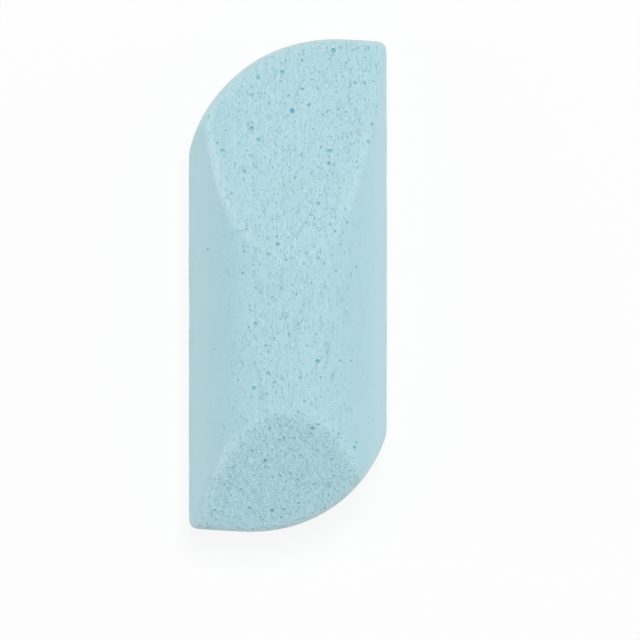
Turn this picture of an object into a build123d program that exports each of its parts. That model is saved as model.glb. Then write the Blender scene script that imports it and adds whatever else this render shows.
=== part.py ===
"""Pumice sponge: one block of rigid foam for smoothing feet, lying on its flat back.

Units are millimetres. X runs across the block, Y along it and Z up from the back.
The origin is the middle of the block's footprint, on the face that it lies on.

The block is cut in three ways:
- seen from its end, a D: a crowned front over upright sides and a flat back;
- seen from the side, a roof: a long bevel at the +Y end and a short one at the other;
- seen from above, an S: two straight sides, with one rounded and one square corner
  at each end, and the rounded corners diagonally opposite.
"""

from build123d import *
import os
from math import asin, cos, degrees, radians, sin, tan

# Overall size.
body_width = 40.0
body_length = 99.6
body_thickness = 25.0

# The crown is part of a round bar, which stands out past each side by this much before
# the sides are cut. So the crown meets the upright sides at a soft corner.
bar_overhang = 1.0

# The bevels. Each starts on the crest, at this distance from the end of the block.
long_bevel_run = 44.8
long_bevel_angle = 18.0
short_bevel_run = 23.9
short_bevel_angle = 26.0

# The S outline. At each end an arc starts on one side, at its shoulder, passes over
# the highest point of the end and runs into a straight edge with a slight slant.
# A shoulder is given by its distance from the end of the block.
long_end_radius = 30.0
long_end_shoulder = 22.8
short_end_radius = 28.2
short_end_shoulder = 20.0
end_edge_slant = 3.0

# The soft corners and edges.
shoulder_radius = 6.0
square_corner_radius = 1.3
bevel_ridge_radius = 2.5
bevel_rim_radius = 1.0
back_edge_radius = 0.8

half_width = body_width / 2
half_length = body_length / 2
bar_radius = half_width + bar_overhang

# Each bevel runs down to the level of the back, so this is how far the bar reaches.
flatter_angle = min(long_bevel_angle, short_bevel_angle)
bar_half_length = half_length + body_thickness / tan(radians(flatter_angle))


def bevel_plane(run, angle, turn):
    """The plane of a bevel, which falls from the crest towards its end of the block.

    turn is 0 for the end at +Y, and 180 for the end at -Y.
    """
    start = Vector(0, half_length - run, body_thickness).rotate(Axis.Z, turn)
    up = Vector(0, sin(radians(angle)), cos(radians(angle))).rotate(Axis.Z, turn)
    return Plane(origin=start, x_dir=(1, 0, 0), z_dir=up)


def end_outline(radius, shoulder, turn):
    """Draws one end of the S: the arc from its shoulder, then the slanted edge.

    turn is 0 for the end at +Y, and 180 for the end at -Y.
    Returns the shoulder and the square corner, which the straight sides join.
    """
    shoulder_angle = 180 - degrees(asin((radius - shoulder) / radius))
    centre_x = -half_width - radius * cos(radians(shoulder_angle))
    centre = Vector(centre_x, half_length - radius).rotate(Axis.Z, turn)
    arc_angle = 90 - end_edge_slant - shoulder_angle
    arc = CenterArc(centre, radius, shoulder_angle + turn, arc_angle)
    run = half_width - centre_x - radius * sin(radians(end_edge_slant))
    edge_length = run / cos(radians(end_edge_slant))
    edge = PolarLine(arc @ 1, edge_length, angle=turn - end_edge_slant)
    return arc @ 0, edge @ 1


def cut_bevels():
    """Cuts both bevels off the part that is being built."""
    split(bisect_by=bevel_plane(long_bevel_run, long_bevel_angle, 0), keep=Keep.BOTTOM)
    split(bisect_by=bevel_plane(short_bevel_run, short_bevel_angle, 180), keep=Keep.BOTTOM)


# The round bar, with the bevels and their soft ridges. It reaches below the back.
with BuildPart() as crowned_bar:
    with BuildSketch(Plane.XZ.offset(-bar_half_length)):
        with Locations((0, body_thickness - bar_radius)):
            Circle(bar_radius)
    extrude(amount=2 * bar_half_length)
    split(bisect_by=Plane.XY.offset(-back_edge_radius))
    cut_bevels()
    fillet(crowned_bar.edges().sort_by(Axis.Z)[-2:], bevel_ridge_radius)

# The S outline, with the same bevels and with soft edges. The bar then crowns it.
with BuildPart() as pumice_sponge:
    with BuildSketch() as outline:
        with BuildLine():
            long_shoulder, long_corner = end_outline(long_end_radius, long_end_shoulder, 0)
            short_shoulder, short_corner = end_outline(
                short_end_radius, short_end_shoulder, 180
            )
            Line(long_corner, short_shoulder)
            Line(short_corner, long_shoulder)
        make_face()
        for corners, radius in (
            ((long_corner, short_corner), square_corner_radius),
            ((long_shoulder, short_shoulder), shoulder_radius),
        ):
            fillet([outline.vertices().sort_by_distance(c)[0] for c in corners], radius)
    extrude(amount=2 * body_thickness)
    cut_bevels()
    walls = pumice_sponge.faces().filter_by(lambda face: abs(face.normal_at().Z) < 1e-6)
    around = walls.edges().filter_by(Axis.Z, reverse=True)
    rims = around.filter_by_position(Axis.Z, back_edge_radius, 2 * body_thickness)
    fillet(rims, bevel_rim_radius)
    fillet(pumice_sponge.faces().sort_by(Axis.Z)[0].edges(), back_edge_radius)
    add(crowned_bar.part, mode=Mode.INTERSECT)

pumice_sponge.part.label = "pumice_sponge"
os.makedirs("parts", exist_ok=True)
export_step(pumice_sponge.part, "parts/pumice_sponge.step")
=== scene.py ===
"""Pumice sponge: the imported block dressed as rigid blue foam, on a plain white table.

The block keeps the shape, size and place of its construction model. Here its corners are
softened, its bubbles are opened and its skin gets the fine grain of foam that has been
cut and sanded. Lengths are metres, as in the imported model, and MM turns millimetres into
them. X runs across the block, Y along it and Z up from the table. The long bevel faces
+Y, and the short one faces -Y.
"""

import logging
import random
from collections import defaultdict
from collections.abc import Sequence
from dataclasses import dataclass, field
from enum import Enum
from itertools import product
from math import pi, radians

import bmesh
import bpy
from bpy.types import Material, Mesh, Node, NodeSocket, NodeTree, Object, ShaderNodeTree
from mathutils import Euler, Matrix, Vector, noise
from mathutils.bvhtree import BVHTree
from mathutils.kdtree import KDTree


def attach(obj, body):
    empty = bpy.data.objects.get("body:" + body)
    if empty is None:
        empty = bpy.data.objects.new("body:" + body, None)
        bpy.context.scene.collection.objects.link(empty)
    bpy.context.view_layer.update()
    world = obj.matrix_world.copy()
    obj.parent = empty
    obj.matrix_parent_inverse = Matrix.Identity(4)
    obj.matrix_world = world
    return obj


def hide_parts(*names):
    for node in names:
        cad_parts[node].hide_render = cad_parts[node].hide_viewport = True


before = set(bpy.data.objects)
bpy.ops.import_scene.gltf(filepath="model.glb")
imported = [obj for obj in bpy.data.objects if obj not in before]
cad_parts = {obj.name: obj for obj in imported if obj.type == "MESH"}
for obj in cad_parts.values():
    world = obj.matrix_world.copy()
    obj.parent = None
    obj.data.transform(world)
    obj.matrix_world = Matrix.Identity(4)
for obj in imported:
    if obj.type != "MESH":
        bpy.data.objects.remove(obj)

LOG = logging.getLogger("pumice_sponge")

Colour = tuple[float, float, float, float]

# Where a soft step starts, and where it ends.
Grade = tuple[float, float]

MM = 0.001
CM2_IN_A_M2 = 1e4
WHITE: Colour = (1.0, 1.0, 1.0, 1.0)
NODE_STEP = 200
NOISE_MIDDLE = 0.5

# The bubbles' finish comes after the skin, which has the number 0.
BUBBLE_WALL = 1

# The Y of a face's direction, from where the crest ends to where a bevel is full.
BEVEL_TILT: Grade = (0.05, 0.25)


def paint(red: int, green: int, blue: int) -> Colour:
    """Turns a colour as a paint chart gives it into the linear one that a shader needs.

    The numbers in the sum are those of the sRGB standard.

    Args:
        red: The red share, from 0 to 255.
        green: The green share, from 0 to 255.
        blue: The blue share, from 0 to 255.

    Returns:
        The linear colour, with an alpha of 1.
    """
    shares = [part / 255 for part in (red, green, blue)]
    linear = [s / 12.92 if s <= 0.04045 else ((s + 0.055) / 1.055) ** 2.4 for s in shares]
    return (*linear, 1.0)


def soft_step(low: float, high: float, value: float) -> float:
    """Grades a value softly, from 0 at low or under it to 1 at high or over it."""
    share = min(max((value - low) / (high - low), 0.0), 1.0)
    return share * share * (3 - 2 * share)


class Tint(Enum):
    """A bubble's own colour, darker than the skin; the wall's turn to it with depth is painted
    shade.
    """

    TEAL = paint(155, 210, 214)
    SEA = paint(161, 215, 220)
    BLUE = paint(127, 199, 219)
    DUSK = paint(164, 210, 214)
    SMOKE = paint(163, 203, 209)
    PALE = paint(169, 212, 219)


class Stretch(Enum):
    """How a pattern is drawn out, as the factors on X, Y and Z of its coordinates."""

    NONE = (1.0, 1.0, 1.0)
    ALONG = (1.0, 0.75, 1.0)
    DRAWN = (1.0, 0.43, 1.0)
    STREAK = (1.0, 0.16, 1.0)


# ----- Shader node groups -----


class Shading:
    """Adds nodes to a tree and joins them, in the order in which they are asked for."""

    def __init__(self, tree: NodeTree) -> None:
        """Empties the tree, and starts on it."""
        self.tree = tree
        tree.nodes.clear()

    def add(self, kind: str, **settings: object) -> Node:
        """Adds one node.

        Args:
            kind: The node's type, without the ShaderNode that starts its name.
            **settings: The node's properties and their values.

        Returns:
            The new node.
        """
        node = self.tree.nodes.new("ShaderNode" + kind)
        node.location = (NODE_STEP * len(self.tree.nodes), 0)
        for name, value in settings.items():
            setattr(node, name, value)
        return node

    def feed(self, socket: NodeSocket, value: object) -> None:
        """Joins a socket to an output, or sets it to a plain value.

        Args:
            socket: The socket.
            value: The output or the value.
        """
        if isinstance(value, NodeSocket):
            self.tree.links.new(value, socket)
        else:
            socket.default_value = value

    def fill(self, node: Node, *values: object) -> NodeSocket:
        """Feeds a node's inputs in their order, passing over those that it doesn't use.

        Args:
            node: The node.
            *values: An output or a plain value for each input.

        Returns:
            The first output that the node uses.
        """
        used = [socket for socket in node.inputs if socket.enabled]
        for socket, value in zip(used, values):
            self.feed(socket, value)
        return next(socket for socket in node.outputs if socket.enabled)

    def math(self, operation: str, *values: object) -> NodeSocket:
        """Adds a Math node, and feeds it the values."""
        return self.fill(self.add("Math", operation=operation), *values)

    def vectors(self, operation: str, *values: object) -> NodeSocket:
        """Adds a Vector Math node, and feeds it the values."""
        return self.fill(self.add("VectorMath", operation=operation), *values)

    def grade(self, value: NodeSocket, low: object, high: object) -> NodeSocket:
        """Adds a smooth step from 0 at low to 1 at high."""
        return self.fill(self.add("MapRange", interpolation_type="SMOOTHSTEP"), value, low, high)

    def mix(self, share: object, first: object, second: object) -> NodeSocket:
        """Adds a mix of two colours, with this share of the second one."""
        return self.fill(self.add("Mix", data_type="RGBA"), share, first, second)

    def noise(self, place: NodeSocket, detail: float) -> NodeSocket:
        """Adds soft noise about NOISE_MIDDLE, with this many finer layers on it."""
        return self.fill(self.add("TexNoise", noise_dimensions="3D"), place, 1.0, detail)

    def stretched(self, stretch: Stretch, scale: object) -> NodeSocket:
        """Adds object coordinates, drawn out and then scaled.

        Args:
            stretch: How the pattern is drawn out.
            scale: Cells to the metre, as an output or a number.

        Returns:
            The coordinates.
        """
        place = self.add("TexCoord").outputs["Object"]
        drawn = self.add("Mapping")
        self.feed(drawn.inputs["Vector"], place)
        self.feed(drawn.inputs["Scale"], stretch.value)
        return self.vectors("SCALE", drawn.outputs[0], scale)

    def attribute(self, name: str) -> NodeSocket:
        """Reads one of the piece's own attributes as a number."""
        return self.add("Attribute", attribute_name=name).outputs["Fac"]

    def group(self, tree: NodeTree, **values: object) -> Node:
        """Places one of the shared node groups.

        Args:
            tree: The group to place.
            **values: An output or a number for each input that isn't at its usual value.

        Returns:
            The group's node.
        """
        node = self.add("Group", node_tree=tree)
        for name, value in values.items():
            self.feed(node.inputs[name], value)
        return node

    def seen(self) -> NodeSocket:
        """Masks what the camera sees, straight on, in mirrors or through glass.

        Returns:
            The mask.
        """
        rays = self.add("LightPath").outputs
        straight = self.math("MAXIMUM", rays["Is Camera Ray"], rays["Is Glossy Ray"])
        return self.math("MAXIMUM", straight, rays["Is Transmission Ray"])


class GroupDesk(Shading):
    """A node group on the desk: its named inputs and outputs, and the nodes between."""

    def __init__(self, name: str, inputs: dict[str, float], outputs: list[str]) -> None:
        """Makes the group.

        Args:
            name: The group's name.
            inputs: The inputs' names and usual values.
            outputs: The outputs' names.
        """
        super().__init__(bpy.data.node_groups.new(name, "ShaderNodeTree"))
        panel = self.tree.interface
        for label, usual in inputs.items():
            socket = panel.new_socket(label, in_out="INPUT", socket_type="NodeSocketFloat")
            socket.default_value = usual
        for label in outputs:
            panel.new_socket(label, in_out="OUTPUT", socket_type="NodeSocketFloat")
        self.given = self.tree.nodes.new("NodeGroupInput").outputs
        self.result = self.tree.nodes.new("NodeGroupOutput").inputs


@dataclass(frozen=True)
class GrainLayer:
    """One layer of the grain, whose weight is its share of the grain's depth."""

    label: str
    stretch: Stretch
    detail: float
    weight: float


@dataclass
class FoamPatterns:
    """The patterns that the foam's finishes share, each a node group.

    A pit's size lies between smallest_pit and pit_spread more, and its floor is a share of
    its radius. The grain has its quiet strength everywhere, and more in patches.
    """

    smallest_pit: float = 0.45
    pit_spread: float = 0.7
    pit_floor: float = 0.35
    grain_layers: tuple[GrainLayer, ...] = (
        GrainLayer("Lumps", Stretch.DRAWN, 2.0, 0.85),
        GrainLayer("Folds", Stretch.DRAWN, 1.0, 0.34),
        GrainLayer("Streaks", Stretch.STREAK, 0.0, 0.40),
    )
    quiet_strength: float = 0.75
    patch_strength: float = 0.3
    patch_grade: Grade = (0.35, 0.65)
    break_softness: float = 0.08
    pits: ShaderNodeTree = field(init=False)
    grain: ShaderNodeTree = field(init=False)
    creases: ShaderNodeTree = field(init=False)
    marks: ShaderNodeTree = field(init=False)
    mottle: ShaderNodeTree = field(init=False)

    def __post_init__(self) -> None:
        """Builds the five groups."""
        self.pits = self.build_pits()
        self.grain = self.build_grain()
        self.creases = self.build_lines("Foam creases", Stretch.DRAWN)
        self.marks = self.build_lines("Cut marks", Stretch.STREAK)
        self.mottle = self.build_mottle()

    def build_pits(self) -> ShaderNodeTree:
        """Builds the fine pits: round cells, cut open by the surface at all depths.

        Returns:
            The group, whose Pit is 1 at the bottom of a pit and 0 between pits, and whose
            Kind is a number from 0 to 1 for each cell.
        """
        usual = {"Cells": 2200.0, "Opening": 0.42, "Offset": 0.0}
        desk = GroupDesk("Fine pits", usual, ["Pit", "Kind"])
        place = desk.stretched(Stretch.ALONG, desk.given["Cells"])
        moved = desk.vectors("ADD", place, desk.given["Offset"])
        cells = desk.add("TexVoronoi", voronoi_dimensions="3D", feature="F1")
        desk.fill(cells, moved, 1.0)
        kind = desk.add("SeparateColor")
        desk.fill(kind, cells.outputs["Color"])
        size = desk.math("MULTIPLY_ADD", kind.outputs[0], self.pit_spread, self.smallest_pit)
        rim = desk.math("MULTIPLY", size, desk.given["Opening"])
        floor = desk.math("MULTIPLY", rim, self.pit_floor)
        outside = desk.grade(cells.outputs["Distance"], floor, rim)
        desk.feed(desk.result["Pit"], desk.math("SUBTRACT", 1.0, outside))
        desk.feed(desk.result["Kind"], kind.outputs[1])
        return desk.tree

    def build_grain(self) -> ShaderNodeTree:
        """Builds the grain: small lumps, broad folds and streaks, stronger in patches.

        Returns:
            The group, whose Height is a share of the grain's depth, about 0.
        """
        usual = {"Lumps": 2400.0, "Folds": 1150.0, "Streaks": 1000.0, "Patches": 320.0}
        desk = GroupDesk("Foam grain", usual, ["Height"])
        total: object = -NOISE_MIDDLE * sum(layer.weight for layer in self.grain_layers)
        for layer in self.grain_layers:
            place = desk.stretched(layer.stretch, desk.given[layer.label])
            lumps = desk.noise(place, layer.detail)
            total = desk.math("MULTIPLY_ADD", lumps, layer.weight, total)
        patches = desk.noise(desk.stretched(Stretch.ALONG, desk.given["Patches"]), 1.0)
        patched = desk.grade(patches, *self.patch_grade)
        strength = desk.math("MULTIPLY_ADD", patched, self.patch_strength, self.quiet_strength)
        desk.feed(desk.result["Height"], desk.math("MULTIPLY", total, strength))
        return desk.tree

    def build_lines(self, name: str, stretch: Stretch) -> ShaderNodeTree:
        """Builds fine lines: where a soft noise passes its middle, in broken lengths.

        Args:
            name: The group's name.
            stretch: How the lines are drawn out.

        Returns:
            The group, whose Line is 1 along a line and whose Lip is 1 along a strip beside it
            towards -X, where the skin paints the line's lit side.
        """
        usual = {"Cells": 1100.0, "Width": 0.08, "Breaks": 600.0, "Gaps": 0.52, "Shift": 0.22}
        desk = GroupDesk(name, usual, ["Line", "Lip"])
        place = desk.stretched(stretch, desk.given["Cells"])
        aside = desk.fill(desk.add("CombineXYZ"), desk.given["Shift"])
        beside = desk.vectors("ADD", place, aside)
        breaks = desk.noise(desk.stretched(Stretch.ALONG, desk.given["Breaks"]), 0.0)
        end = desk.math("ADD", desk.given["Gaps"], self.break_softness)
        kept = desk.grade(breaks, desk.given["Gaps"], end)
        for label, where in (("Line", place), ("Lip", beside)):
            level = desk.math("SUBTRACT", desk.noise(where, 1.0), NOISE_MIDDLE)
            off = desk.grade(desk.math("ABSOLUTE", level), 0.0, desk.given["Width"])
            line = desk.math("SUBTRACT", 1.0, off)
            desk.feed(desk.result[label], desk.math("MULTIPLY", line, kept))
        return desk.tree

    def build_mottle(self) -> ShaderNodeTree:
        """Builds the slow change of shade over the foam, with faint streaks along it.

        Returns:
            The group, whose Shade is the mean of the two, about NOISE_MIDDLE.
        """
        desk = GroupDesk("Foam mottle", {"Clouds": 160.0, "Streaks": 900.0}, ["Shade"])
        clouds = desk.noise(desk.stretched(Stretch.NONE, desk.given["Clouds"]), 3.0)
        streaks = desk.noise(desk.stretched(Stretch.STREAK, desk.given["Streaks"]), 1.0)
        total = desk.math("ADD", clouds, streaks)
        desk.feed(desk.result["Shade"], desk.math("MULTIPLY", total, 0.5))
        return desk.tree


# ----- Finishes -----


def blank_material(name: str) -> tuple[Material, Shading]:
    """Makes a material with nothing in its tree.

    Args:
        name: The material's name.

    Returns:
        The material, and the desk with its tree.
    """
    material = bpy.data.materials.new(name)
    material.use_nodes = True
    return material, Shading(material.node_tree)


@dataclass(frozen=True)
class FoamFinish:
    """Rigid blue foam: a matt, chalky skin, coarse where it is cut and smooth elsewhere.

    A shade is how much of its paint a mark takes. The grades are steps of coarseness,
    apart from tint_grade, which is a step of depth in millimetres. A line breaks off
    where a noise is under its gaps, which grow by bare_gaps where the foam is smooth.
    """

    cut_paint: Colour = paint(181, 221, 231)
    # Painted light: a slightly warmer, greyer paint for the long bevel, which faces the key lamp.
    key_side_paint: Colour = paint(183, 220, 229)
    skin_paint: Colour = paint(174, 212, 222)
    # Painted sheen: upright faces take a greyer, lighter paint, as they would at a grazing angle to
    # the white studio.
    upright_sheen_paint: Colour = paint(186, 218, 225)
    # Lighter along the ridges between the bevels and the crown.
    ridge_paint: Colour = paint(194, 227, 234)
    # Painted light: a lighter, greyer paint around the rounded rim of the bevels.
    rim_light_paint: Colour = paint(199, 223, 227)
    # Painted highlight: a near-white paint for the lit tops of the raised specks and along each
    # line's lip.
    highlight_paint: Colour = paint(208, 246, 254)
    # Painted shade: a darker paint for the hollows of the pits and lines.
    hollow_shade_paint: Colour = paint(120, 168, 180)
    roughness: float = 0.85
    specular: float = 0.3
    sheen: float = 0.15
    sheen_roughness: float = 0.5
    cut_grade: Grade = (0.25, 1.0)
    dark_grade: Grade = (0.0, 0.75)
    light_grade: Grade = (0.2, 0.9)
    tint_grade: Grade = (-0.04, 0.10)
    pit_depth: float = 0.30 * MM
    pit_shade: float = 0.12
    deep_shade: float = 0.40
    deep_share: float = 0.5
    deep_softness: float = 0.1
    crumb_height: float = 0.04 * MM
    # How much painted highlight each raised speck takes.
    speck_highlight_share: float = 0.70
    crease_gaps: float = 0.52
    mark_gaps: float = 0.45
    bare_gaps: float = 0.2
    crease_depth: float = 0.10 * MM
    crease_shade: float = 0.38
    # How much painted highlight each line's lip takes.
    lip_highlight_share: float = 0.46
    mark_shade: float = 0.20
    # Painted light and shade on the grain: how much darker its hollows and lighter its lumps are,
    # in each channel.
    grain_shading_tint: tuple[float, float, float] = (0.22, 0.18, 0.17)
    cloudiness: float = 0.05
    grain_depth: float = 0.30 * MM
    bare_grain: float = 0.04
    bubble_grain: float = 0.05

    def shell(self, desk: Shading, colour: NodeSocket, height: NodeSocket) -> None:
        """Adds the shader, its bump and the material's output.

        Args:
            desk: The material's desk.
            colour: The foam's colour.
            height: The bump's height, in metres.
        """
        bump = desk.add("Bump")
        desk.feed(bump.inputs["Height"], height)
        desk.feed(bump.inputs["Distance"], 1.0)
        desk.feed(bump.inputs["Strength"], 1.0)
        foam = desk.add("BsdfPrincipled")
        desk.feed(foam.inputs["Base Color"], colour)
        desk.feed(foam.inputs["Normal"], bump.outputs[0])
        desk.feed(foam.inputs["Roughness"], self.roughness)
        desk.feed(foam.inputs["Specular IOR Level"], self.specular)
        desk.feed(foam.inputs["Sheen Weight"], self.sheen)
        desk.feed(foam.inputs["Sheen Roughness"], self.sheen_roughness)
        desk.feed(desk.add("OutputMaterial").inputs["Surface"], foam.outputs[0])

    def ground(self, desk: Shading, coarse: NodeSocket) -> NodeSocket:
        """Mixes the foam's colour: cut faces and flanks, lighter ridges, and painted light on
        walls, bevel and rims.

        Args:
            desk: The material's desk.
            coarse: The coarseness.

        Returns:
            The colour, before any mark.
        """
        # Upright faces take the painted sheen.
        skin = desk.mix(desk.attribute("uprightness"), self.skin_paint, self.upright_sheen_paint)
        # The bevel that faces the key lamp takes its painted light.
        cut = desk.mix(desk.attribute("rubbing"), self.cut_paint, self.key_side_paint)
        base = desk.mix(desk.grade(coarse, *self.cut_grade), skin, cut)
        # Lighter along the ridges.
        worn = desk.mix(desk.attribute("ridge_wear"), base, self.ridge_paint)
        # The rounded rim takes its painted light.
        return desk.mix(desk.attribute("rim_wear"), worn, self.rim_light_paint)

    def pitting(self, desk: Shading, pits: ShaderNodeTree, coarse: NodeSocket) -> NodeSocket:
        """Adds the fine pits, with a few deep ones among them.

        Args:
            desk: The material's desk.
            pits: The group of the fine pits.
            coarse: The coarseness.

        Returns:
            How strong the painted shade in the pits is.
        """
        fine = desk.group(pits, Cells=2000.0, Opening=0.5).outputs
        deep = desk.group(pits, Cells=1150.0, Opening=0.32, Offset=7.3).outputs
        rarest = desk.math("MULTIPLY_ADD", coarse, -self.deep_share, 1.0)
        rare = desk.math("ADD", rarest, self.deep_softness)
        few = desk.math("MULTIPLY", deep["Pit"], desk.grade(deep["Kind"], rarest, rare))
        few = desk.math("MULTIPLY", few, self.deep_shade)
        many = desk.math("MULTIPLY", fine["Pit"], coarse)
        return desk.math("MAXIMUM", desk.math("MULTIPLY", many, self.pit_shade), few)

    def lining(self, desk: Shading, patterns: FoamPatterns, coarse: NodeSocket) -> list[NodeSocket]:
        """Adds the creases and the cut marks, which are rarer where the foam is smooth.

        Args:
            desk: The material's desk.
            patterns: The shared patterns.
            coarse: The coarseness.

        Returns:
            How strong the painted highlight along each lip is, and how strong the painted shade in
            the lines is.
        """
        bare = desk.math("SUBTRACT", 1.0, coarse)
        gaps = desk.math("MULTIPLY_ADD", bare, self.bare_gaps, self.crease_gaps)
        creases = desk.group(patterns.creases, Cells=880.0, Breaks=1150.0, Gaps=gaps)
        gaps = desk.math("MULTIPLY_ADD", bare, self.bare_gaps, self.mark_gaps)
        marks = desk.group(patterns.marks, Cells=700.0, Gaps=gaps)
        shades = []
        for label, shade in (("Lip", self.lip_highlight_share), ("Line", self.crease_shade)):
            crease = desk.math("MULTIPLY", creases.outputs[label], shade)
            mark = marks.outputs[label]
            shades.append(desk.math("MULTIPLY_ADD", mark, self.mark_shade, crease))
        return shades

    def skin(self, patterns: FoamPatterns) -> Material:
        """Makes the finish of the block's outside.

        Args:
            patterns: The shared patterns.

        Returns:
            The material.
        """
        material, desk = blank_material("foam skin")
        coarse = desk.attribute("coarseness")
        clear = desk.grade(coarse, *self.dark_grade)
        lit = desk.math("MULTIPLY", coarse, desk.grade(coarse, *self.light_grade))
        pitted = desk.math("MULTIPLY", self.pitting(desk, patterns.pits, coarse), clear)
        lip_lights, lines = self.lining(desk, patterns, coarse)
        # Painted highlight: the lip on the -X side of each line, lit as a groove's wall that faces
        # +X would be.
        lip_highlights = desk.math("MULTIPLY", lip_lights, lit)
        creased = desk.math("MULTIPLY", lines, clear)
        # Raised specks: a bump, with a painted highlight on each.
        specks = desk.group(patterns.pits, Cells=2150.0, Opening=0.36, Offset=3.1)
        proud = desk.math("MULTIPLY", specks.outputs["Pit"], lit)
        rough = desk.math("MULTIPLY_ADD", coarse, 1.0 - self.bare_grain, self.bare_grain)
        grain = desk.group(patterns.grain).outputs["Height"]
        lumps = desk.math("MULTIPLY", grain, rough)

        # Painted shade in the pits, which are also bumped in.
        colour = desk.mix(pitted, self.ground(desk, coarse), self.hollow_shade_paint)
        # Paints a highlight along each line's lip.
        colour = desk.mix(lip_highlights, colour, self.highlight_paint)
        # Painted shade in the lines, which are also bumped in.
        colour = desk.mix(creased, colour, self.hollow_shade_paint)
        # Paints a highlight on each raised speck.
        speck_highlights = desk.math("MULTIPLY", proud, self.speck_highlight_share)
        colour = desk.mix(speck_highlights, colour, self.highlight_paint)
        # Painted shade in the grain's hollows, and painted light on its lumps.
        grain_shading = desk.vectors("MULTIPLY_ADD", lumps, self.grain_shading_tint, (1.0, 1.0, 1.0))
        colour = desk.vectors("MULTIPLY", colour, grain_shading)
        shade = desk.group(patterns.mottle).outputs["Shade"]
        clearest = 1.0 - self.cloudiness * NOISE_MIDDLE
        cloudy = desk.math("MULTIPLY_ADD", shade, self.cloudiness, clearest)
        colour = desk.vectors("SCALE", colour, cloudy)

        height = desk.math("MULTIPLY", pitted, -self.pit_depth)
        height = desk.math("MULTIPLY_ADD", lumps, self.grain_depth, height)
        height = desk.math("MULTIPLY_ADD", proud, self.crumb_height, height)
        height = desk.math("MULTIPLY_ADD", creased, -self.crease_depth, height)
        self.shell(desk, colour, height)
        return material

    def wall(self, patterns: FoamPatterns) -> Material:
        """Makes the finish of the inside of the bubbles, which darkens to the bubble's tint with
        depth: painted shade.

        Args:
            patterns: The shared patterns.

        Returns:
            The material.
        """
        material, desk = blank_material("foam bubble wall")
        depth = desk.attribute("pore_depth")
        grain = desk.group(patterns.grain, Lumps=5200.0, Folds=2600.0)
        tint = desk.add("Attribute", attribute_name="pore_tint").outputs["Color"]
        # Painted shade: deeper in a bubble, the wall turns from the skin's paint to the darker
        # tint.
        colour = desk.mix(desk.grade(depth, *self.tint_grade), self.cut_paint, tint)
        fine_depth = self.grain_depth * self.bubble_grain
        height = desk.math("MULTIPLY", grain.outputs["Height"], fine_depth)
        self.shell(desk, colour, height)
        return material


@dataclass(frozen=True)
class TableFinish:
    """A matt white table top, which fades into the white behind it."""

    colour: Colour = (0.96, 0.96, 0.96, 1.0)
    glow: float = 0.85

    def material(self) -> Material:
        """Makes the material: a matt surface, with part of it plain white to the camera.

        Returns:
            The material.
        """
        material, desk = blank_material("white table")
        matt = desk.fill(desk.add("BsdfDiffuse"), self.colour)
        white = desk.fill(desk.add("Emission"), WHITE, 1.0)
        share = desk.math("MULTIPLY", desk.seen(), self.glow)
        both = desk.fill(desk.add("MixShader"), share, matt, white)
        desk.feed(desk.add("OutputMaterial").inputs["Surface"], both)
        return material


# ----- Shapes and meshes -----


def in_scene(name: str, data: bpy.types.ID) -> Object:
    """Makes an object, and puts it in the scene.

    Args:
        name: The object's name.
        data: The mesh, lamp or camera that it holds.

    Returns:
        The object.
    """
    thing = bpy.data.objects.new(name, data)
    bpy.context.scene.collection.objects.link(thing)
    return thing


def as_mesh(name: str, shape: bmesh.types.BMesh) -> Mesh:
    """Turns a shape into a mesh, and frees the shape.

    Args:
        name: The mesh's name.
        shape: The shape.

    Returns:
        The mesh.
    """
    mesh = bpy.data.meshes.new(name)
    shape.to_mesh(mesh)
    shape.free()
    return mesh


def as_shape(mesh: Mesh) -> bmesh.types.BMesh:
    """Makes a shape of a mesh, which stays as it is.

    Args:
        mesh: The mesh.

    Returns:
        The shape.
    """
    shape = bmesh.new()
    shape.from_mesh(mesh)
    return shape


def soften(shape: bmesh.types.BMesh, times: int) -> None:
    """Moves each point of a shape halfway towards its neighbours, again and again.

    Args:
        shape: The shape.
        times: How many times.
    """
    for _ in range(times):
        bmesh.ops.smooth_vert(
            shape, verts=shape.verts, factor=0.5, use_axis_x=True, use_axis_y=True, use_axis_z=True
        )


def applied(draft: Object) -> Mesh:
    """Applies an object's modifiers, and removes the object and its old mesh.

    Args:
        draft: The object, which goes with its mesh.

    Returns:
        The mesh that its modifiers make.
    """
    graph = bpy.context.evaluated_depsgraph_get()
    mesh = bpy.data.meshes.new_from_object(draft.evaluated_get(graph))
    bpy.data.meshes.remove(draft.data)
    return mesh


def finder(places: Sequence[Vector]) -> KDTree:
    """Makes the tree that finds the nearest of some places.

    Args:
        places: The places, which it knows by their numbers.

    Returns:
        The tree.
    """
    tree = KDTree(len(places))
    for number, place in enumerate(places):
        tree.insert(place, number)
    tree.balance()
    return tree


# ----- The block -----


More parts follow.
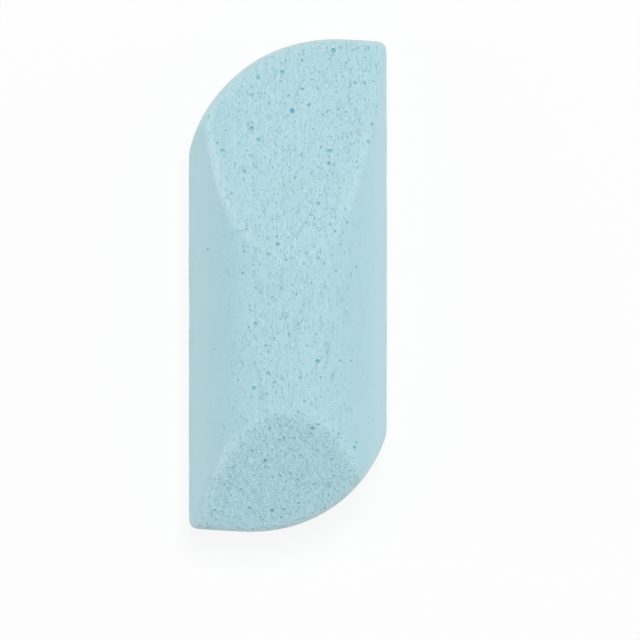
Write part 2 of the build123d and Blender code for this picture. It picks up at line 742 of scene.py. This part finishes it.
@dataclass
class BlockCore:
    """The block before its bubbles are opened: a fine, even mesh with softened corners.

    The waviness of the surface starts a little above the back, which stays flat.
    """

    node: Object
    merge_distance: float = 0.001 * MM
    voxel: float = 0.75 * MM
    softening: int = 5
    wave_height: float = 0.10 * MM
    wave_length: float = 9.0 * MM
    wave_start: Grade = (0.2 * MM, 2.0 * MM)
    mesh: Mesh = field(init=False)
    tree: BVHTree = field(init=False)

    def build(self) -> None:
        """Makes the mesh, and the tree that finds its nearest point."""
        draft = self.remeshed()
        shape = as_shape(draft)
        bpy.data.meshes.remove(draft)
        soften(shape, self.softening)
        self.wave(shape)
        bmesh.ops.triangulate(shape, faces=shape.faces)
        shape.normal_update()
        for face in shape.faces:
            face.smooth = True
        self.tree = BVHTree.FromBMesh(shape)
        self.mesh = as_mesh("foam core", shape)

    def remeshed(self) -> Mesh:
        """Covers the construction solid with even squares.

        Returns:
            The new mesh.
        """
        shape = as_shape(self.node.data)
        bmesh.ops.remove_doubles(shape, verts=shape.verts, dist=self.merge_distance)
        draft = in_scene("foam draft", as_mesh("foam draft", shape))
        remesh = draft.modifiers.new("even squares", "REMESH")
        remesh.mode = "VOXEL"
        remesh.voxel_size = self.voxel
        return applied(draft)

    def wave(self, shape: bmesh.types.BMesh) -> None:
        """Moves the surface in and out a little, except the flat back.

        Args:
            shape: The surface.
        """
        shape.normal_update()
        for vert in shape.verts:
            sway = noise.noise(vert.co / self.wave_length) * self.wave_height
            vert.co += vert.normal * sway * soft_step(*self.wave_start, vert.co.z)


@dataclass(frozen=True)
class Bubble:
    """A gas bubble in the foam, as the ball that is cut away."""

    centre: Vector
    radius: float
    tint: Tint


@dataclass
class Crowd:
    """Keeps the bubbles of one round apart, in a grid of boxes.

    A bubble is held against the others in its own box and in the boxes around it.
    """

    box: float = 1.2 * MM
    apart: float = 0.25 * MM
    boxes: dict[tuple[int, ...], list[Bubble]] = field(
        default_factory=lambda: defaultdict(list)
    )

    def admit(self, bubble: Bubble) -> bool:
        """Adds a bubble, unless it comes too near to another.

        Args:
            bubble: The bubble.

        Returns:
            Whether there was room for it.
        """
        home = tuple(int(part // self.box) for part in bubble.centre)
        for step in product((-1, 0, 1), repeat=3):
            for other in self.boxes.get(tuple(h + s for h, s in zip(home, step)), ()):
                reach = bubble.radius + other.radius + self.apart
                if (bubble.centre - other.centre).length < reach:
                    return False
        self.boxes[home].append(bubble)
        return True


@dataclass(frozen=True)
class BubbleSize:
    """One size of bubble, which is scattered over the whole block.

    The density is how many are tried to the square centimetre of coarse foam. A centre
    lies under the surface by a share of the radius between shallow and deep, or over it
    where the share is below 0. fineness is 1 for a ball of 20 faces and 2 for one of 80.
    """

    density: float
    smallest: float
    largest: float
    shallow: float
    deep: float
    fineness: int
    tints: tuple[Tint, ...]


MEDLEY = (Tint.SMOKE, Tint.SMOKE, Tint.SMOKE, Tint.DUSK, Tint.SEA)
FAINT = (Tint.PALE, Tint.SMOKE)

# A bubble with a place of its own on the front: its X, Y and radius in millimetres.
Spot = tuple[float, float, float, Tint]

LARGE: tuple[Spot, ...] = (
    (9.2, 47.45, 0.57, Tint.TEAL),
    (-1.15, 43.0, 0.54, Tint.SEA),
    (-6.0, 41.85, 0.44, Tint.SEA),
    (2.9, 39.6, 0.42, Tint.DUSK),
    (0.9, 35.1, 0.57, Tint.BLUE),
    (-7.3, 31.6, 0.52, Tint.TEAL),
    (-5.9, 29.3, 0.49, Tint.SEA),
    (-13.2, 27.15, 0.44, Tint.SEA),
    (8.2, 27.1, 0.45, Tint.TEAL),
    (8.2, 24.5, 0.44, Tint.TEAL),
    (16.9, 32.5, 0.42, Tint.SEA),
    (16.25, 28.9, 0.44, Tint.SEA),
    (-8.7, 22.8, 0.41, Tint.SEA),
    (6.1, 16.4, 0.40, Tint.DUSK),
    (-2.0, 8.2, 0.48, Tint.DUSK),
    (6.0, -15.3, 0.50, Tint.TEAL),
    (-4.0, -17.7, 0.43, Tint.SEA),
    (-6.8, -20.7, 0.48, Tint.SEA),
    (-6.5, -7.75, 0.44, Tint.SEA),
    (5.0, -28.8, 0.52, Tint.DUSK),
    (13.4, -32.75, 0.46, Tint.SEA),
    (-4.5, -35.35, 0.48, Tint.DUSK),
    (-3.2, -45.5, 0.50, Tint.DUSK),
    (-7.7, -44.9, 0.42, Tint.SEA),
)

MEDIUM: tuple[Spot, ...] = (
    (14.25, 48.0, 0.25, Tint.SEA),
    (15.7, 47.6, 0.25, Tint.SMOKE),
    (17.35, 41.15, 0.24, Tint.SMOKE),
    (15.55, 40.9, 0.27, Tint.SMOKE),
    (-9.25, 40.15, 0.24, Tint.DUSK),
    (7.1, 34.3, 0.27, Tint.DUSK),
    (14.1, 28.95, 0.24, Tint.SEA),
    (13.8, 24.85, 0.27, Tint.DUSK),
    (-3.05, 23.6, 0.29, Tint.SMOKE),
    (1.4, 21.55, 0.31, Tint.DUSK),
    (10.35, 19.55, 0.24, Tint.DUSK),
    (-6.9, 19.05, 0.29, Tint.SEA),
    (3.7, 12.55, 0.32, Tint.DUSK),
    (8.6, 12.25, 0.25, Tint.DUSK),
    (9.5, 10.8, 0.29, Tint.SMOKE),
    (0.1, 9.5, 0.25, Tint.SMOKE),
    (-3.95, 9.35, 0.27, Tint.DUSK),
    (2.4, 6.8, 0.25, Tint.SMOKE),
    (0.8, 5.45, 0.25, Tint.SMOKE),
    (13.8, 3.7, 0.31, Tint.DUSK),
    (-9.0, 2.4, 0.27, Tint.SMOKE),
    (12.75, 2.2, 0.25, Tint.DUSK),
    (1.7, -1.85, 0.25, Tint.SMOKE),
    (-7.5, -5.0, 0.31, Tint.SEA),
    (2.1, -7.85, 0.29, Tint.DUSK),
    (-2.7, -10.7, 0.25, Tint.SMOKE),
    (10.6, -15.2, 0.29, Tint.DUSK),
    (12.75, -15.2, 0.27, Tint.DUSK),
    (2.6, -18.55, 0.29, Tint.SMOKE),
    (-4.2, -21.85, 0.29, Tint.DUSK),
    (-3.6, -28.8, 0.31, Tint.DUSK),
    (10.2, -29.9, 0.32, Tint.DUSK),
    (-0.7, -30.7, 0.34, Tint.DUSK),
    (6.1, -33.2, 0.32, Tint.DUSK),
    (0.45, -37.9, 0.27, Tint.SMOKE),
    (-1.5, -38.4, 0.27, Tint.SMOKE),
    (-9.5, -41.1, 0.29, Tint.SMOKE),
    (2.1, -43.95, 0.29, Tint.SMOKE),
    (-0.8, -45.15, 0.31, Tint.SMOKE),
    (-14.7, -45.3, 0.31, Tint.SMOKE),
)

# Each of these is close to a large one or overlaps it, so it is cut a round later.
TWINS: tuple[Spot, ...] = (
    (-8.0, 32.4, 0.38, Tint.SEA),
    (8.65, 27.05, 0.41, Tint.TEAL),
    (6.1, -28.0, 0.34, Tint.DUSK),
    (13.8, -31.65, 0.36, Tint.SEA),
)


@dataclass
class BubbleField:
    """The bubbles that the cut opened: some with places of their own, and many others.

    The grades are steps of the X, Y or Z of a face's direction, apart from rubbed_reach,
    which is a step of distance towards -X. On a bevel the two ends of front_level are
    higher, by bevel_raise.
    """

    core: BlockCore
    rounds: tuple[tuple[BubbleSize, ...], ...] = (
        (
            BubbleSize(11.0, 0.24 * MM, 0.40 * MM, -0.70, 0.0, 2, MEDLEY),
            BubbleSize(20.0, 0.10 * MM, 0.17 * MM, -0.6, 0.1, 1, FAINT),
        ),
        (BubbleSize(11.0, 0.12 * MM, 0.20 * MM, -0.6, 0.1, 1, FAINT),),
    )
    large_depth: float = 0.12
    medium_depth: float = 0.10
    spot_fineness: int = 2
    sighting_height: float = 1.0
    batch: int = 60
    flattest: float = 0.86
    wall_coarseness: float = 0.5
    back_coarseness: float = 0.75
    crest_coarseness: float = 0.92
    short_coarseness: float = 1.2
    back_level: float = -0.5
    short_tilt: Grade = (0.10, 0.35)
    front_level: Grade = (0.2, 0.5)
    bevel_raise: tuple[float, float] = (0.3, 0.25)
    left_fade: Grade = (0.22, 0.90)
    right_fade: Grade = (0.16, 1.04)
    rubbed_side: float = 0.32
    rubbed_reach: Grade = (8 * MM, 13 * MM)
    sparsest: float = 0.05
    most_crowded: float = 1.16
    crowding_power: int = 3
    seed: int = 19
    bubbles: list[Bubble] = field(default_factory=list)

    def coarseness(self, place: Vector, normal: Vector) -> float:
        """How coarse the foam is at a place on the core.

        Args:
            place: The place.
            normal: The surface's direction there.

        Returns:
            About 1 on the bevels and the crest, less on the back and the walls, and near 0
            on the flanks of the crown.
        """
        if normal.z < self.back_level:
            return self.back_coarseness
        long_bevel = soft_step(*BEVEL_TILT, normal.y)
        level = self.crest_coarseness
        level += (1 - level) * long_bevel
        level += (self.short_coarseness - level) * soft_step(*self.short_tilt, -normal.y)
        level *= 1 - self.rubbed_side * long_bevel * soft_step(*self.rubbed_reach, -place.x)
        fade = self.right_fade if normal.x > 0 else self.left_fade
        level *= 1 - soft_step(*fade, abs(normal.x))
        bevel = soft_step(*BEVEL_TILT, abs(normal.y))
        low, high = self.front_level
        low_raise, high_raise = self.bevel_raise
        front = soft_step(low + low_raise * bevel, high + high_raise * bevel, normal.z)
        return level * front + self.wall_coarseness * (1 - soft_step(low, high, normal.z))

    def crowding(self, coarse: float) -> float:
        """How close the bubbles lie where the foam is this coarse."""
        crowded = min(coarse, self.most_crowded) ** self.crowding_power
        return self.sparsest + (1 - self.sparsest) * crowded

    def carve(self) -> Mesh:
        """Cuts every bubble out of the core, one round after another.

        Returns:
            The carved mesh.
        """
        dice = random.Random(self.seed)
        mesh = self.core.mesh.copy()
        apart = self.placed(LARGE, self.large_depth) + self.placed(MEDIUM, self.medium_depth)
        twins = self.placed(TWINS, self.large_depth)
        for count, (own, sizes) in enumerate(zip((apart, twins), self.rounds), start=1):
            batches = [(own, self.spot_fineness)]
            taken = Crowd()
            for bubble in own:
                taken.admit(bubble)
            for size in sizes:
                batches.append((self.scatter(size, taken, dice), size.fineness))
            opened = [bubble for bubbles, _ in batches for bubble in bubbles]
            mesh = self.cut(mesh, self.balls(batches, dice))
            self.bubbles.extend(opened)
            LOG.info("round %d: %d bubbles", count, len(opened))
        return mesh

    def placed(self, spots: tuple[Spot, ...], depth: float) -> list[Bubble]:
        """Makes the bubbles that have places of their own, straight under their spots.

        Args:
            spots: The spots.
            depth: How far under the surface a centre lies, as a share of the radius.

        Returns:
            The bubbles.
        """
        bubbles = []
        for x, y, radius, tint in spots:
            above = Vector((x * MM, y * MM, self.sighting_height))
            place, normal, _, _ = self.core.tree.ray_cast(above, Vector((0, 0, -1)))
            size = radius * MM
            bubbles.append(Bubble(place - normal * size * depth, size, tint))
        return bubbles

    def scatter(self, size: BubbleSize, taken: Crowd, dice: random.Random) -> list[Bubble]:
        """Scatters one size of bubble, clear of those that are there already.

        Args:
            size: The size to scatter.
            taken: The bubbles of this round so far.
            dice: The source of chance.

        Returns:
            The new bubbles.
        """
        mesh = self.core.mesh
        faces = list(mesh.polygons)
        weights = [
            face.area * self.crowding(self.coarseness(face.center, face.normal))
            for face in faces
        ]
        wanted = round(sum(weights) * CM2_IN_A_M2 * size.density)
        bubbles = []
        for face in dice.choices(faces, weights, k=wanted):
            corners = [mesh.vertices[i].co for i in face.vertices]
            across, along = sorted((dice.random(), dice.random()))
            shares = (across, along - across, 1 - along)
            place = sum((c * s for c, s in zip(corners, shares)), Vector())
            radius = size.smallest + (size.largest - size.smallest) * dice.random() ** 2
            depth = radius * dice.uniform(size.shallow, size.deep)
            tint = dice.choice(size.tints)
            bubble = Bubble(place - face.normal * depth, radius, tint)
            if taken.admit(bubble):
                bubbles.append(bubble)
        return bubbles

    def ball(self, bubble: Bubble, dice: random.Random) -> Matrix:
        """Turns a bubble's ball, flattens it a little and puts it in its place.

        Args:
            bubble: The bubble.
            dice: The source of chance.

        Returns:
            The matrix for the ball.
        """
        turn = Euler([dice.uniform(0, 2 * pi) for _ in range(3)]).to_matrix()
        squash = Matrix.Diagonal([dice.uniform(self.flattest, 1.0) for _ in range(3)])
        return Matrix.Translation(bubble.centre) @ (turn @ squash).to_4x4()

    def balls(self, batches: list[tuple[list[Bubble], int]], dice: random.Random) -> Object:
        """Makes the balls that cut a round's bubbles.

        They are made a few at a time, because that is quicker.

        Args:
            batches: The bubbles, with the fineness of their balls.
            dice: The source of chance.

        Returns:
            The cutter, whose one object holds every ball.
        """
        every = bmesh.new()
        for bubbles, fineness in batches:
            for start in range(0, len(bubbles), self.batch):
                few = bmesh.new()
                for bubble in bubbles[start : start + self.batch]:
                    ball = self.ball(bubble, dice)
                    bmesh.ops.create_icosphere(
                        few, subdivisions=fineness, radius=bubble.radius, matrix=ball
                    )
                part = as_mesh("few balls", few)
                every.from_mesh(part)
                bpy.data.meshes.remove(part)
        for face in every.faces:
            face.material_index = BUBBLE_WALL
        mesh = as_mesh("balls", every)
        for material in self.core.mesh.materials:
            mesh.materials.append(material)
        return in_scene("balls", mesh)

    def cut(self, mesh: Mesh, cutter: Object) -> Mesh:
        """Cuts one round of balls out of a mesh.

        Args:
            mesh: The mesh to cut, which is removed.
            cutter: The balls, which are removed too.

        Returns:
            The carved mesh.
        """
        draft = in_scene("foam draft", mesh)
        knife = draft.modifiers.new("open bubbles", "BOOLEAN")
        knife.operation = "DIFFERENCE"
        knife.solver = "MANIFOLD"
        knife.object = cutter
        carved = applied(draft)
        bpy.data.meshes.remove(cutter.data)
        return carved


@dataclass
class FoamBlock:
    """The whole piece: the core, its bubbles, its attributes and its finish.

    The lighter ridges and the painted rim light grow with how far a point stands out from a
    softened copy of the core, the worn surface. A level is a step of the Z of a direction, a
    tilt is one of its X or Y, and a reach is one of distance from the middle of the block.
    wall_level is a step of minus the size of Z, so that it is full where the surface is upright.
    """

    finish: FoamFinish
    core: BlockCore
    sharp: float = radians(32)
    wall_level: Grade = (-0.90, -0.35)
    proud_spread: int = 14
    proud_range: Grade = (0.05 * MM, 0.21 * MM)
    ridge_level: Grade = (0.78, 0.90)
    ridge_reach: Grade = (15 * MM, 18 * MM)
    flank_tilt: Grade = (0.03, 0.30)
    crest_ridge_share: float = 0.35
    saved_reach: Grade = (0.0, 8 * MM)
    right_saved: float = 0.28
    short_saved: float = 0.22
    rim_wear: float = 0.68
    rim_level: Grade = (0.15, 0.45)
    rim_tilt: Grade = (0.12, 0.30)
    arris_level: Grade = (0.62, 0.85)
    band_share: float = 0.48
    rim_smoothing: float = 0.6
    smoothing_tilt: Grade = (0.1, 0.3)
    name: str = "foam_block"

    def build(self, patterns: FoamPatterns) -> Object:
        """Builds the piece and puts it in the place of its construction solid.

        Args:
            patterns: The shared patterns.

        Returns:
            The piece.
        """
        self.core.build()
        LOG.info("core: %d faces", len(self.core.mesh.polygons))
        for material in (self.finish.skin(patterns), self.finish.wall(patterns)):
            self.core.mesh.materials.append(material)
        opened = BubbleField(self.core)
        mesh = opened.carve()
        mesh.name = self.name
        self.sharpen(mesh)
        self.measure(mesh, opened)
        piece = in_scene(self.name, mesh)
        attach(piece, "root")
        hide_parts("pumice_sponge")
        bpy.data.meshes.remove(self.core.mesh)
        LOG.info("%s: %d triangles", self.name, len(mesh.polygons))
        return piece

    def sharpen(self, mesh: Mesh) -> None:
        """Cuts the carved mesh into triangles, and keeps the lip of each bubble sharp.

        Args:
            mesh: The carved mesh.
        """
        shape = as_shape(mesh)
        bmesh.ops.triangulate(shape, faces=shape.faces)
        for face in shape.faces:
            face.smooth = True
        for edge in shape.edges:
            sides = {face.material_index for face in edge.link_faces}
            edge.smooth = len(sides) == 1 and edge.calc_face_angle(0.0) < self.sharp
        shape.to_mesh(mesh)
        shape.free()

    def measure(self, mesh: Mesh, opened: BubbleField) -> None:
        """Writes what the finish reads at each point of the mesh.

        Args:
            mesh: The carved mesh.
            opened: The bubbles that were cut.
        """
        bubbles = opened.bubbles
        nearest_bubble = finder([bubble.centre for bubble in bubbles])
        nearest_core_point = finder([vert.co for vert in self.core.mesh.vertices])
        ridges, rims = self.proud_grades()
        columns: dict[str, list[float]] = defaultdict(list)
        tints: list[float] = []
        for vert in mesh.vertices:
            place, normal, _, distance = self.core.tree.find_nearest(vert.co)
            _, worn, _ = nearest_core_point.find(vert.co)
            _, bubble, _ = nearest_bubble.find(vert.co)
            rubbed = rims[worn] * soft_step(*self.smoothing_tilt, normal.y)
            smoothed = 1 - self.rim_smoothing * rubbed
            coarse = opened.coarseness(place, normal)
            columns["coarseness"].append(coarse * smoothed)
            columns["pore_depth"].append(distance / MM)
            # How much lighter a point is along the ridges.
            columns["ridge_wear"].append(ridges[worn])
            # How much painted rim light a point takes.
            columns["rim_wear"].append(rims[worn] * self.rim_wear)
            # How upright a face is, which is how much painted sheen it takes.
            columns["uprightness"].append(soft_step(*self.wall_level, -abs(normal.z)))
            # How much of the key-side painted light a face takes, by how far it turns to +Y.
            columns["rubbing"].append(soft_step(*BEVEL_TILT, normal.y))
            tints.extend(bubbles[bubble].tint.value)
        for name, values in columns.items():
            column = mesh.attributes.new(name, "FLOAT", "POINT")
            column.data.foreach_set("value", values)
        column = mesh.attributes.new("pore_tint", "FLOAT_COLOR", "POINT")
        column.data.foreach_set("color", tints)

    def ridge_share(self, place: Vector, normal: Vector) -> float:
        """How much of the ridges' lightening a place takes.

        Args:
            place: The place on the worn surface.
            normal: The worn surface's direction there.

        Returns:
            1 beside the bevels, less across the crest, and 0 around the rim and below it.
        """
        beside = soft_step(*self.flank_tilt, abs(normal.x))
        front = soft_step(*self.ridge_level, normal.z)
        front *= 1 - soft_step(*self.ridge_reach, abs(place.x))
        front *= 1 - self.right_saved * soft_step(*self.saved_reach, place.x)
        front *= 1 - self.short_saved * soft_step(*self.saved_reach, -place.y)
        return front * (self.crest_ridge_share + (1 - self.crest_ridge_share) * beside)

    def rim_share(self, normal: Vector, worn: Vector) -> float:
        """How much of the painted rim light a place takes: a band, and the arris outside it.

        Args:
            normal: The surface's direction.
            worn: The worn surface's direction.

        Returns:
            Up to 1 around the outer rim of both bevels, and 0 elsewhere.
        """
        band = self.band_share * (1 - soft_step(*self.ridge_level, worn.z))
        arris = (1 - self.band_share) * (1 - soft_step(*self.arris_level, normal.z))
        around = soft_step(*self.rim_level, normal.z) * soft_step(*self.rim_tilt, abs(normal.y))
        return around * (band + arris)

    def proud_grades(self) -> tuple[list[float], list[float]]:
        """Grades how much each point of the front stands out, as a ridge or a rim does.

        Returns:
            The grades of the ridges and of the rims, from 0 to 1, in the order of the
            core's points.
        """
        shape = as_shape(self.core.mesh)
        soften(shape, self.proud_spread)
        shape.normal_update()
        ridges, rims = [], []
        for vert, worn in zip(self.core.mesh.vertices, shape.verts):
            proud = soft_step(*self.proud_range, (vert.co - worn.co).dot(vert.normal))
            ridges.append(proud * self.ridge_share(worn.co, worn.normal))
            rims.append(proud * self.rim_share(vert.normal, worn.normal))
        shape.free()
        return ridges, rims


# ----- The studio -----


@dataclass(frozen=True)
class SoftLamp:
    """A large soft lamp, which points at the block."""

    name: str
    place: tuple[float, float, float]
    size: tuple[float, float]
    power: float

    def build(self) -> None:
        """Hangs the lamp in its place."""
        light = bpy.data.lights.new(self.name, "AREA")
        light.shape = "RECTANGLE"
        light.size, light.size_y = self.size
        light.energy = self.power
        lamp = in_scene(self.name, light)
        lamp.location = self.place
        lamp.rotation_euler = Vector(self.place).to_track_quat("Z", "Y").to_euler()


@dataclass
class Studio:
    """A white table under a light tent, with four soft lamps and a camera above.

    The camera's view is view_width wide at the height view_level.
    """

    table_size: float = 6.0
    table_squares: int = 8
    table_gap: float = 0.02 * MM
    tent: float = 0.42
    lamps: tuple[SoftLamp, ...] = (
        SoftLamp("key lamp", (0.19, 0.72, 1.64), (0.7, 0.7), 15.1),
        SoftLamp("left lamp", (-1.17, 0.0, 0.32), (0.3, 1.0), 3.15),
        SoftLamp("right lamp", (1.17, 0.0, 0.32), (0.3, 1.0), 3.15),
        SoftLamp("front lamp", (0.0, -1.17, 0.32), (1.0, 0.3), 1.1),
    )
    camera_place: tuple[float, float, float] = (0.0065, -0.0070, 2.0)
    view_width: float = 0.1296
    view_level: float = 0.006
    farthest: float = 20.0

    def build(self) -> None:
        """Builds the table, the lights and the camera."""
        self.build_table()
        self.build_tent()
        for lamp in self.lamps:
            lamp.build()
        self.build_camera()
        bpy.context.scene.view_settings.view_transform = "Standard"

    def build_table(self) -> None:
        """Lays the table top just under the block."""
        shape = bmesh.new()
        bmesh.ops.create_grid(
            shape,
            x_segments=self.table_squares,
            y_segments=self.table_squares,
            size=self.table_size / 2,
            matrix=Matrix.Translation((0.0, 0.0, -self.table_gap)),
        )
        mesh = as_mesh("table_top", shape)
        mesh.materials.append(TableFinish().material())
        in_scene("table_top", mesh)

    def build_tent(self) -> None:
        """Makes the world: an even light, which looks plain white to the camera."""
        world = bpy.data.worlds.new("light tent")
        world.use_nodes = True
        desk = Shading(world.node_tree)
        light = desk.fill(desk.add("Background"), WHITE, self.tent)
        white = desk.fill(desk.add("Background"), WHITE, 1.0)
        both = desk.fill(desk.add("MixShader"), desk.seen(), light, white)
        desk.feed(desk.add("OutputWorld").inputs["Surface"], both)
        bpy.context.scene.world = world

    def build_camera(self) -> None:
        """Sets the camera straight above the block, with +Y up in its view."""
        lens = bpy.data.cameras.new("camera")
        height = self.camera_place[2] - self.view_level
        lens.lens = lens.sensor_width * height / self.view_width
        lens.clip_end = self.farthest
        camera = in_scene("camera", lens)
        camera.location = self.camera_place
        bpy.context.scene.camera = camera


def main() -> None:
    """Builds the piece and the studio."""
    logging.basicConfig(level=logging.INFO, format="%(name)s: %(message)s")
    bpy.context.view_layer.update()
    block = FoamBlock(FoamFinish(), BlockCore(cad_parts["pumice_sponge"]))
    block.build(FoamPatterns())
    Studio().build()
    LOG.info("studio: table, tent, lamps and camera")


if __name__ == "__main__":
    main()
